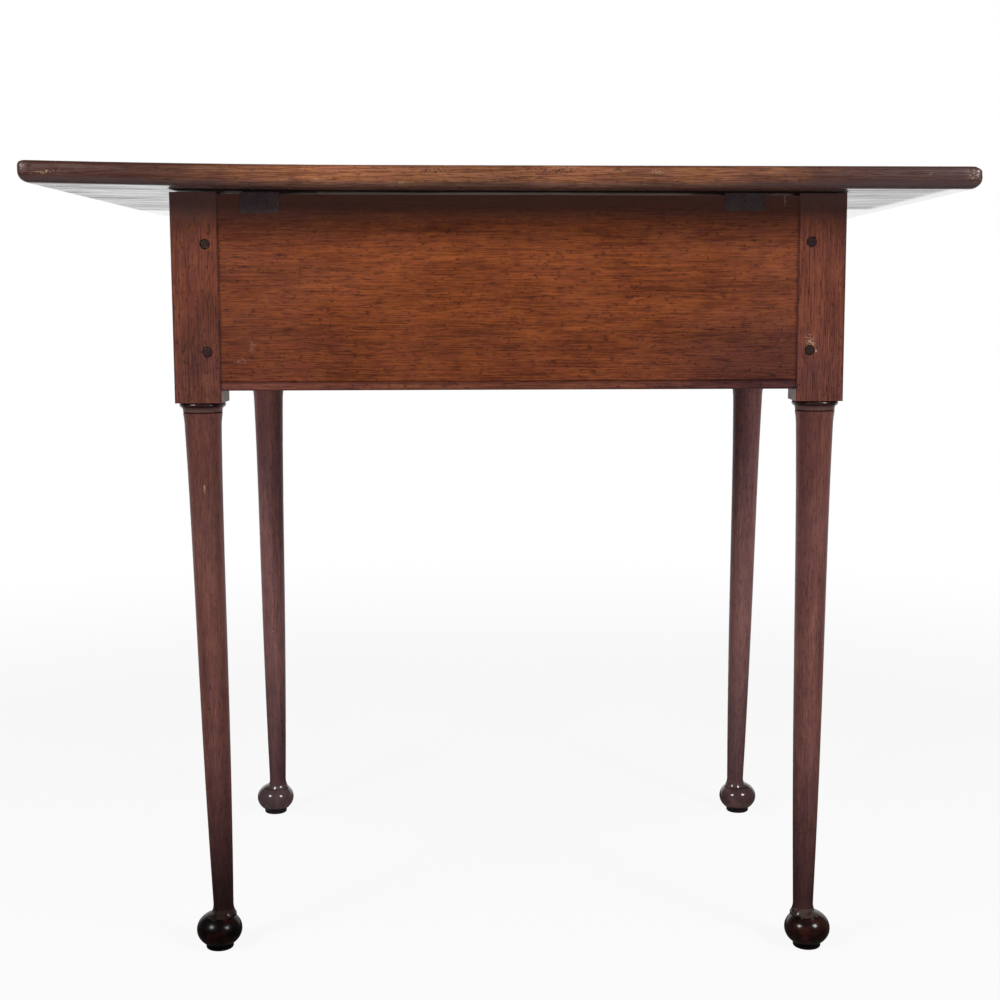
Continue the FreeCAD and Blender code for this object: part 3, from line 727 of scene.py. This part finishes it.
# A painted reflection of the white floor on the lower round of the ends.
TOP_END_LOWER_PAINTED_REFLECTION = (0.105, 0.072, 0.072)
TOP_END_REFLECTION_RISE = (0.42, 0.12)
TOP_END_REFLECTION_STRENGTH = 0.75
TOP_ARRIS_DIRT = (0.62, 0.55, 0.50)
TOP_ARRIS_RISE = (0.94, 0.99)
TOP_ARRIS_SOFTNESS = 0.02
UNDERSIDE_BROWN = (0.75, 0.80, 0.85)
UNDERSIDE_RISE = (0.04, 0.0)
UNDERSIDE_SMOOTH_RISE = (0.0, 0.12)
UNDERSIDE_SMOOTHNESS = (0.45, 1.0)
UNWAXED_DULLNESS = 0.20
SMEAR_WAX = 0.8
WAX_LINE_SLANT = 0.14
WAX_LINE = (0.062, 0.088)
WAXED_RIGHT_END = (0.366, 0.382)
# A painted shade on the underside strip over the front apron.
UNDERSIDE_PAINTED_SHADE = (0.12, 0.12, 0.14)
PAINTED_SHADE_HALF = 0.29
PAINTED_SHADE_HALF_SOFTNESS = 0.004
PAINTED_SHADE_STRIP = (-0.250, -0.2235)
PAINTED_SHADE_STRIP_SOFTNESS = 0.003
TOP_THICKNESS = 0.0185
TOP_CORNER = 0.014
TOP_CORNER_FACETS = 8
TOP_CORNER_SQUARENESS = 5.5
UPPER_ROUND = 0.0042
UPPER_ROUND_FACETS = 4
LOWER_ROUND = 0.009
LOWER_ROUND_FACETS = 6
BOW_START = -0.091
BOW_LENGTH = 0.310
BOW_RISE = 0.0035
SLICE_ALONG = 0.004
SLICE_ACROSS = 0.010
SLICES_FROM_END = (0.0015, 0.0030, 0.0055, 0.0075)
END_ROUND = {-1: 0.0070, 1: 0.0088}
EDGE_WEAR = 0.0006
DENTS_TO_THE_METRE = Vector((45.0, 45.0, 140.0))
JOINT_ARRIS = 0.0004
TOP_CHIPS = (
    ((-0.3790, -0.2850, 0.7058), (0.0160, 0.004, 0.0022)),
    ((-0.1500, -0.2830, 0.6990), (0.0160, 0.005, 0.0022)),
    ((-0.1800, -0.2830, 0.6992), (0.0060, 0.005, 0.0016)),
    ((-0.0820, -0.2820, 0.6960), (0.0060, 0.005, 0.0014)),
    ((-0.0080, -0.2830, 0.6975), (0.0070, 0.005, 0.0016)),
    ((0.0530, -0.2840, 0.7078), (0.0220, 0.005, 0.0016)),
    ((0.1300, -0.2850, 0.7037), (0.0110, 0.004, 0.0030)),
    ((0.2440, -0.2830, 0.6968), (0.0070, 0.005, 0.0014)),
    ((0.3930, -0.2830, 0.6990), (0.0090, 0.005, 0.0080)),
    ((0.3560, -0.2850, 0.7010), (0.0030, 0.004, 0.0016)),
)
TOP_CHIP_BARENESS = 0.75
TOP_CHIP_SPECKS_TO_THE_METRE = 700.0
TOP_PITTED = (
    ((0.0480, -0.2840, 0.7050), (0.0420, 0.006, 0.0046)),
    ((-0.0550, -0.2840, 0.7055), (0.0300, 0.006, 0.0030)),
)
TOP_PIT_STRENGTH = 0.8
TOP_PITS_TO_THE_METRE = 420.0
surface = [mount for mount in frame["record"]["mounts"] if mount["name"] == "table_surface"][0]
top_level = surface["pos_m"][2]
side_fall = surface["axis"][0] / surface["axis"][2]
front_low, front_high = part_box("top_front_board")
rear_low, rear_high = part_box("top_rear_board")
top_low = Vector((front_low.x, front_low.y, top_level - TOP_THICKNESS))
top_high = Vector((front_high.x, rear_high.y, top_level))


def slice_through(shape, point, across, **cleared):
    """Cuts the shape through at the point, square to the across direction."""
    everything = shape.verts[:] + shape.edges[:] + shape.faces[:]
    bmesh.ops.bisect_plane(shape, geom=everything, dist=SAME_PLACE, plane_co=point, plane_no=across,
                           **cleared)


def rounded_slab():
    """Both boards as one level slab, rounded along every edge and sliced finely enough to be worn."""
    slab = bmesh.new()
    size = Matrix.Diagonal((*(top_high - top_low), 1.0))
    bmesh.ops.create_cube(slab, size=1.0, matrix=Matrix.Translation((top_low + top_high) / 2) @ size)
    upright = [edge for edge in slab.edges
               if abs(edge.verts[0].co.z - edge.verts[1].co.z) > TOP_THICKNESS / 2]
    round_over(slab, upright, TOP_CORNER, TOP_CORNER_FACETS)
    for level, radius, facets in ((top_high.z, UPPER_ROUND, UPPER_ROUND_FACETS),
                                  (top_low.z, LOWER_ROUND, LOWER_ROUND_FACETS)):
        rim = [edge for edge in slab.edges
               if all(abs(vert.co.z - level) < SAME_PLACE for vert in edge.verts)]
        round_over(slab, rim, radius, facets)
    for axis, step in ((0, SLICE_ALONG), (1, SLICE_ACROSS)):
        across = Vector((axis == 0, axis == 1, 0.0))
        for number in range(1, round((top_high - top_low)[axis] / step)):
            slice_through(slab, top_low + across * step * number, across)
    for inset in SLICES_FROM_END:
        for end_x in (top_low.x + inset, top_high.x - inset):
            slice_through(slab, (end_x, 0.0, 0.0), (1.0, 0.0, 0.0))
    return slab


def squared_off(place):
    """The place moved outwards where the plan's round corner has kept nearly its square shape."""
    middle = (top_low + top_high) / 2
    corner = (top_high - top_low) / 2 - Vector((TOP_CORNER, TOP_CORNER, 0.0))
    past = [abs(place[axis] - middle[axis]) - corner[axis] for axis in (0, 1)]
    if min(past) <= 0.0:
        return place
    squarer = sum(reach ** TOP_CORNER_SQUARENESS for reach in past) ** (1.0 / TOP_CORNER_SQUARENESS)
    growth = math.hypot(*past) / squarer - 1.0
    outwards = [math.copysign(reach * growth, place[axis] - middle[axis])
                for axis, reach in enumerate(past)]
    return place + Vector((*outwards, 0.0))


def rounded_off(place):
    """The place moved inwards where the upper edge of an end has been worn to a larger round."""
    side = 1 if place.x > 0.0 else -1
    reach = END_ROUND[side]
    centre = Vector((side * (top_high.x - reach), place.y, top_level - reach))
    out = place - centre
    if side * out.x <= 0.0 or out.z <= 0.0 or out.length <= reach:
        return place
    return centre + out.normalized() * reach


def worn_slab():
    """The slab with a height share on each point, worn edges, the bowed end and the fall to the right."""
    slab = rounded_slab()
    rise = slab.verts.layers.float.new("rise")
    for vert in slab.verts:
        vert[rise] = (vert.co.z - top_low.z) / TOP_THICKNESS
        vert.co = rounded_off(squared_off(vert.co))
    slab.normal_update()
    for vert in slab.verts:
        sideways = math.hypot(vert.normal.x, vert.normal.y)
        dent = max(0.0, noise.noise(vert.co * DENTS_TO_THE_METRE))
        vert.co -= vert.normal * EDGE_WEAR * dent * sideways
        bowed = max(0.0, BOW_START - vert.co.x) / BOW_LENGTH
        vert.co.z += BOW_RISE * bowed ** 2 - side_fall * vert.co.x
    return slab


def top_finish():
    """Worn wax on walnut, told apart by the height share: underside, lower round, edge and upper face."""
    material, tree, shader, place = new_finish("top walnut", specular=0.4)
    parts = put(tree, "SeparateXYZ", {0: place}).outputs
    rise = put(tree, "Attribute", attribute_name="rise").outputs["Fac"]
    figure = grained(tree, place, "X", TOP_LIGHT, TOP_DARK, TOP_PORE, TOP_LOG_PLACE)
    end = work(tree, "ADD", work(tree, "ABSOLUTE", parts["X"]),
               work(tree, "MULTIPLY", figure["Tone"], TOP_END_RAGGEDNESS))
    upper_face = faded(tree, rise, *UPPER_FACE_RISE)
    dark_end = work(tree, "MULTIPLY", faded(tree, end, *TOP_END_DARK_REACH),
                    faded(tree, upper_face, 0.0, 1.0, 1.0, UPPER_FACE_END_DARKNESS))
    colour = tinted(tree, dark_end, figure["Color"], TOP_END_DARKENING)
    colour = stained(tree, work(tree, "MULTIPLY", dark_end, TOP_END_WAX_SHARE), colour, TOP_END_WAX)
    # painted reflection: the right end's edge and lower round are made lighter and greyer, as the white
    # floor shows there
    right = work(tree, "MULTIPLY", faded(tree, parts["X"], *TOP_RIGHT_REFLECTION_REACH),
                 faded(tree, upper_face, 1.0, 0.0))
    colour = tinted(tree, right, colour, TOP_RIGHT_PAINTED_REFLECTION)
    rubbed_left = faded(tree, off_middle(tree, parts["X"], LEFT_RUBBING_MIDDLE), *LEFT_RUBBING_REACH)
    rubbed_right = faded(tree, off_middle(tree, parts["X"], RIGHT_RUBBING_MIDDLE), *RIGHT_RUBBING_REACH)
    rubbed = work(tree, "MAXIMUM", rubbed_left,
                  work(tree, "MULTIPLY", rubbed_right, RIGHT_RUBBING_STRENGTH))
    colour = tinted(tree, rubbed, colour, TOP_RUBBING)
    # painted shade: the lower round is darkened and turned purplish, partly dirt and partly the shade
    # under the edge
    lower = work(tree, "MULTIPLY", faded(tree, rise, *TOP_LOWER_DIRT_AND_SHADE_RISE),
                 faded(tree, dark_end, 0.0, 1.0, 1.0, TOP_LOWER_DIRT_AND_SHADE_AT_ENDS))
    colour = tinted(tree, lower, colour, TOP_LOWER_DIRT_AND_SHADE)
    # painted reflection: the lower round of both ends is greyed, as the white floor shows there
    end_painted_reflection = work(tree, "MULTIPLY", faded(tree, rise, *TOP_END_REFLECTION_RISE),
                    work(tree, "MULTIPLY", dark_end, TOP_END_REFLECTION_STRENGTH))
    colour = stained(tree, end_painted_reflection, colour, TOP_END_LOWER_PAINTED_REFLECTION)
    arris = between(tree, rise, *TOP_ARRIS_RISE, TOP_ARRIS_SOFTNESS)
    colour = tinted(tree, arris, colour, TOP_ARRIS_DIRT)
    underside = faded(tree, rise, *UNDERSIDE_RISE)
    colour = tinted(tree, underside, colour, UNDERSIDE_BROWN)
    # painted shade: the underside strip over the front apron is darkened and made rough, standing in for
    # the shade in the corner between top and apron
    over_apron = work(tree, "MULTIPLY", between(tree, parts["Y"], *PAINTED_SHADE_STRIP, PAINTED_SHADE_STRIP_SOFTNESS),
                      below(tree, off_middle(tree, parts["X"], frame_middle.x), PAINTED_SHADE_HALF,
                            PAINTED_SHADE_HALF_SOFTNESS))
    painted_shade = work(tree, "MULTIPLY", over_apron, underside)
    colour = tinted(tree, painted_shade, colour, UNDERSIDE_PAINTED_SHADE)
    colour = marked(tree, place, colour, TOP_PITTED, TOP_PORE, TOP_PIT_STRENGTH, TOP_PITS_TO_THE_METRE)
    colour = marked(tree, place, colour, TOP_CHIPS, BARE_WOOD, TOP_CHIP_BARENESS,
                    TOP_CHIP_SPECKS_TO_THE_METRE)
    tree.links.new(colour, shader.inputs["Base Color"])
    roughness = faded(tree, figure["Streaks"], 0.0, 1.0, *TOP_ROUGHNESS)
    roughness = work(tree, "MULTIPLY", roughness,
                     faded(tree, rise, *UNDERSIDE_SMOOTH_RISE, *UNDERSIDE_SMOOTHNESS))
    smears = cloud(tree, place, along=7.0, across=240.0, detail=4.0, start=0.38, end=0.62)
    slanted = work(tree, "ADD", parts["Y"], work(tree, "MULTIPLY", parts["X"], WAX_LINE_SLANT))
    rear = work(tree, "MAXIMUM", faded(tree, slanted, *WAX_LINE),
                faded(tree, parts["X"], *WAXED_RIGHT_END))
    unwaxed = faded(tree, work(tree, "MAXIMUM", smears, rear), 1.0, 0.0, 0.0, UNWAXED_DULLNESS)
    roughness = work(tree, "ADD", roughness, work(tree, "MULTIPLY", underside, unwaxed))
    roughness = work(tree, "ADD", roughness, work(tree, "MULTIPLY", upper_face, UPPER_FACE_DULLNESS))
    tree.links.new(work(tree, "MAXIMUM", roughness, painted_shade), shader.inputs["Roughness"])
    waxed = work(tree, "MAXIMUM", rear, work(tree, "MULTIPLY", smears, SMEAR_WAX))
    waxed = work(tree, "MULTIPLY", waxed, faded(tree, painted_shade, 1.0, 0.0))
    tree.links.new(work(tree, "MULTIPLY", underside, waxed), shader.inputs["Coat Weight"])
    shader.inputs["Coat Roughness"].default_value = TOP_COAT_ROUGHNESS
    raise_grain(tree, shader, figure["Height"])
    return material


top_walnut = top_finish()
slab = worn_slab()
for node, clear_rear in (("top_front_board", True), ("top_rear_board", False)):
    board = slab.copy()
    slice_through(board, (0.0, rear_low.y, 0.0), (0.0, 1.0, 0.0),
                  clear_outer=clear_rear, clear_inner=not clear_rear)
    bmesh.ops.holes_fill(board, edges=[edge for edge in board.edges if edge.is_boundary], sides=0)
    rise = board.verts.layers.float["rise"]
    arris = [edge for edge in board.edges if all(
        abs(vert.co.y - rear_low.y) < SAME_PLACE and vert[rise] > UPPER_FACE_RISE[1]
        for vert in edge.verts)]
    round_over(board, arris, JOINT_ARRIS, facets=1)
    stand_in(board, node, top_walnut, sharp_from=40)
slab.free()

# Studio. A white floor that fades into white air, two soft lamps, one to each side of the camera and
# higher than the top, and the camera square to the front. Polish shows only what lies behind the table.
FLOOR_HALF = 8.0
FLOOR_GREY = (0.8, 0.8, 0.8, 1.0)
FLOOR_PAPER = (0.95, 0.95, 0.95, 1.0)
FLOOR_SHADOW_REACH = (0.8, 2.2)
FLOOR_SHADOW_LOST = (0.91, 1.0)
SHINING_FLOOR_FROM = (0.35, 0.9)
FLOOR_SHINE = (0.06, 1.0)
WHITE = (1.0, 1.0, 1.0, 1.0)


def shown(tree, lit, seen, shining):
    """One shader for light that falls on things, one for the eye and one for what polish shows."""
    path = put(tree, "LightPath").outputs
    eye = work(tree, "MAXIMUM", path["Is Camera Ray"], path["Is Transmission Ray"])
    for_eye = put(tree, "MixShader", {0: eye, 1: lit, 2: seen}).outputs[0]
    return put(tree, "MixShader", {0: path["Is Glossy Ray"], 1: for_eye, 2: shining}).outputs[0]


def studio_sheet(name, half, material):
    """A flat square, standing for the floor, that isn't part of the table."""
    sheet = bmesh.new()
    bmesh.ops.create_grid(sheet, x_segments=1, y_segments=1, size=half)
    data = bpy.data.meshes.new(name)
    sheet.to_mesh(data)
    sheet.free()
    data.materials.append(material)
    made = bpy.data.objects.new(name, data)
    bpy.context.scene.collection.objects.link(made)


floor_white = bpy.data.materials.new("floor white")
floor_white.use_nodes = True
tree = floor_white.node_tree
tree.nodes.remove(tree.nodes["Principled BSDF"])
floor_place = put(tree, "TexCoord").outputs["Object"]
matt = put(tree, "BsdfDiffuse", {"Color": FLOOR_GREY}).outputs[0]
paper = put(tree, "BsdfDiffuse", {"Color": FLOOR_PAPER}).outputs[0]
glow = put(tree, "Emission", {"Color": WHITE, "Strength": 1.0}).outputs[0]
away = put(tree, "VectorMath", {0: floor_place}, operation="LENGTH").outputs["Value"]
lost_shadow = faded(tree, away, *FLOOR_SHADOW_REACH, *FLOOR_SHADOW_LOST)
seen_floor = put(tree, "MixShader", {0: lost_shadow, 1: paper, 2: glow}).outputs[0]
behind = put(tree, "SeparateXYZ", {0: floor_place}).outputs["Y"]
shine = faded(tree, behind, *SHINING_FLOOR_FROM, *FLOOR_SHINE)
shining_floor = put(tree, "Emission", {"Color": WHITE, "Strength": shine}).outputs[0]
floor_out = tree.nodes["Material Output"].inputs["Surface"]
tree.links.new(shown(tree, matt, seen_floor, shining_floor), floor_out)
studio_sheet("studio_floor", FLOOR_HALF, floor_white)

AIR_TINT = (1.0, 0.98, 0.96, 1.0)
AIR_STRENGTH = 0.12
SHINING_AIR_FROM = (0.55, 0.85)
AIR_SHINE = (0.10, 1.0)
world = bpy.data.worlds.new("studio air")
world.use_nodes = True
tree = world.node_tree
tree.nodes.remove(tree.nodes["Background"])
soft = put(tree, "Background", {"Color": AIR_TINT, "Strength": AIR_STRENGTH}).outputs[0]
bright = put(tree, "Background", {"Color": WHITE, "Strength": 1.0}).outputs[0]
behind = put(tree, "SeparateXYZ", {0: put(tree, "TexCoord").outputs["Generated"]}).outputs["Y"]
shine = faded(tree, behind, *SHINING_AIR_FROM, *AIR_SHINE)
shining_air = put(tree, "Background", {"Color": WHITE, "Strength": shine}).outputs[0]
tree.links.new(shown(tree, soft, bright, shining_air), tree.nodes["World Output"].inputs["Surface"])
bpy.context.scene.world = world

LAMP_WIDTH = 0.5
LAMP_POWER = 16.0
LAMP_ASIDE = 1.2
LAMP_IN_FRONT = -1.25
LAMP_LEVEL = 1.18
LAMP_AIM = Vector((0.0, -0.2, 0.45))
for side, sign in (("left", -1.0), ("right", 1.0)):
    lamp_data = bpy.data.lights.new(side + " soft lamp", "AREA")
    lamp_data.size = LAMP_WIDTH
    lamp_data.energy = LAMP_POWER
    lamp = bpy.data.objects.new(side + "_soft_lamp", lamp_data)
    lamp.location = (sign * LAMP_ASIDE, LAMP_IN_FRONT, LAMP_LEVEL)
    lamp.rotation_euler = (LAMP_AIM - lamp.location).to_track_quat("-Z", "Y").to_euler()
    bpy.context.scene.collection.objects.link(lamp)

CAMERA_PLACE = Vector((0.00455, -1.62934, 0.60004))
CAMERA_TURN = -0.00367
CAMERA_DIP = 0.12517
CAMERA_ROLL = -0.00385
CAMERA_SENSOR_MM = 36.0
CAMERA_LENS_MM = 57.53
camera_data = bpy.data.cameras.new("camera")
camera_data.sensor_width = CAMERA_SENSOR_MM
camera_data.lens = CAMERA_LENS_MM
camera = bpy.data.objects.new("camera", camera_data)
turned = Matrix.Rotation(-CAMERA_TURN, 4, "Z")
dipped = Matrix.Rotation(math.pi / 2 - CAMERA_DIP, 4, "X")
rolled = Matrix.Rotation(CAMERA_ROLL, 4, "Z")
camera.matrix_world = Matrix.Translation(CAMERA_PLACE) @ turned @ dipped @ rolled
bpy.context.scene.collection.objects.link(camera)
bpy.context.scene.camera = camera
bpy.context.scene.view_settings.view_transform = "Standard"
